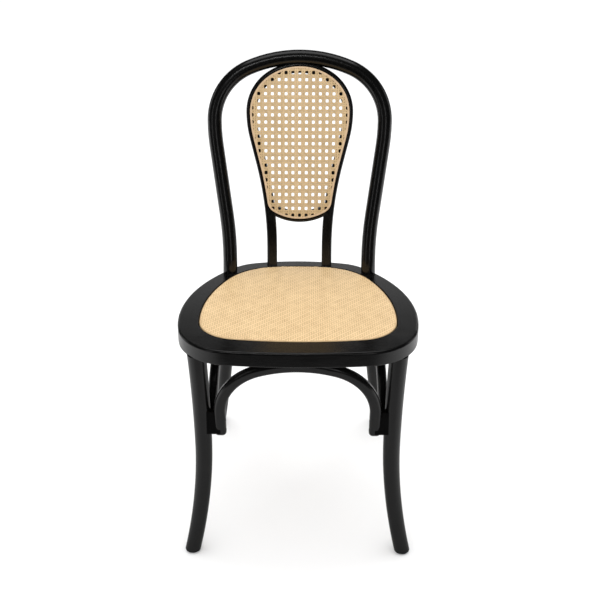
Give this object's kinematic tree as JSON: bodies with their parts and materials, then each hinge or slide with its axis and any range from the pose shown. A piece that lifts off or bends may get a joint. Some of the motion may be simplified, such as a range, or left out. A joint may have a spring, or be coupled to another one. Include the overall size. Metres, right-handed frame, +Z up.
{
  "type": "bentwood bistro chair",
  "caption": "Bentwood side chair: round seat ring with a caned panel, bent outer back bow that runs on as rear legs, inner bow with a caned back, splayed front legs and arched braces.",
  "frame": {"origin": "on the floor, at the middle of the chair's width and length", "axes": "+X across the chair to the right as seen from the front, +Y towards the back, +Z up; the sitter faces -Y"},
  "size_m": [0.45, 0.519, 0.8847],
  "materials": {
    "black_wood": "steam-bent beech in black satin lacquer",
    "cane": "woven natural cane, satin",
    "reed": "natural round reed, satin",
    "plywood": "bare birch plywood",
    "beech": "bare beech",
    "steel": "blackened steel",
    "glide": "black moulded plastic"
  },
  "bodies": {
    "root": {"front_leg_right": "black_wood", "front_leg_left": "black_wood", "front_arch": "black_wood", "front_arch_packings": "black_wood", "side_arch_right": "black_wood", "side_arch_left": "black_wood", "seat_front_rail": "black_wood", "seat_bow": "black_wood", "back_bow": "black_wood", "back_loop": "black_wood", "back_panel_rail": "black_wood", "back_cane": "cane", "seat_cane_cover": "cane", "back_cane_spline": "reed", "seat_board": "plywood", "panel_rail_dowels": "beech", "arch_leg_screws": "steel", "arch_ring_screws": "steel", "seat_board_screws": "steel", "loop_screws": "steel", "rear_leg_bolts": "steel", "rear_leg_washers": "steel", "foot_glide_front_right": "glide", "foot_glide_front_left": "glide", "foot_glide_rear_right": "glide", "foot_glide_rear_left": "glide"}
  },
  "joints": []
}
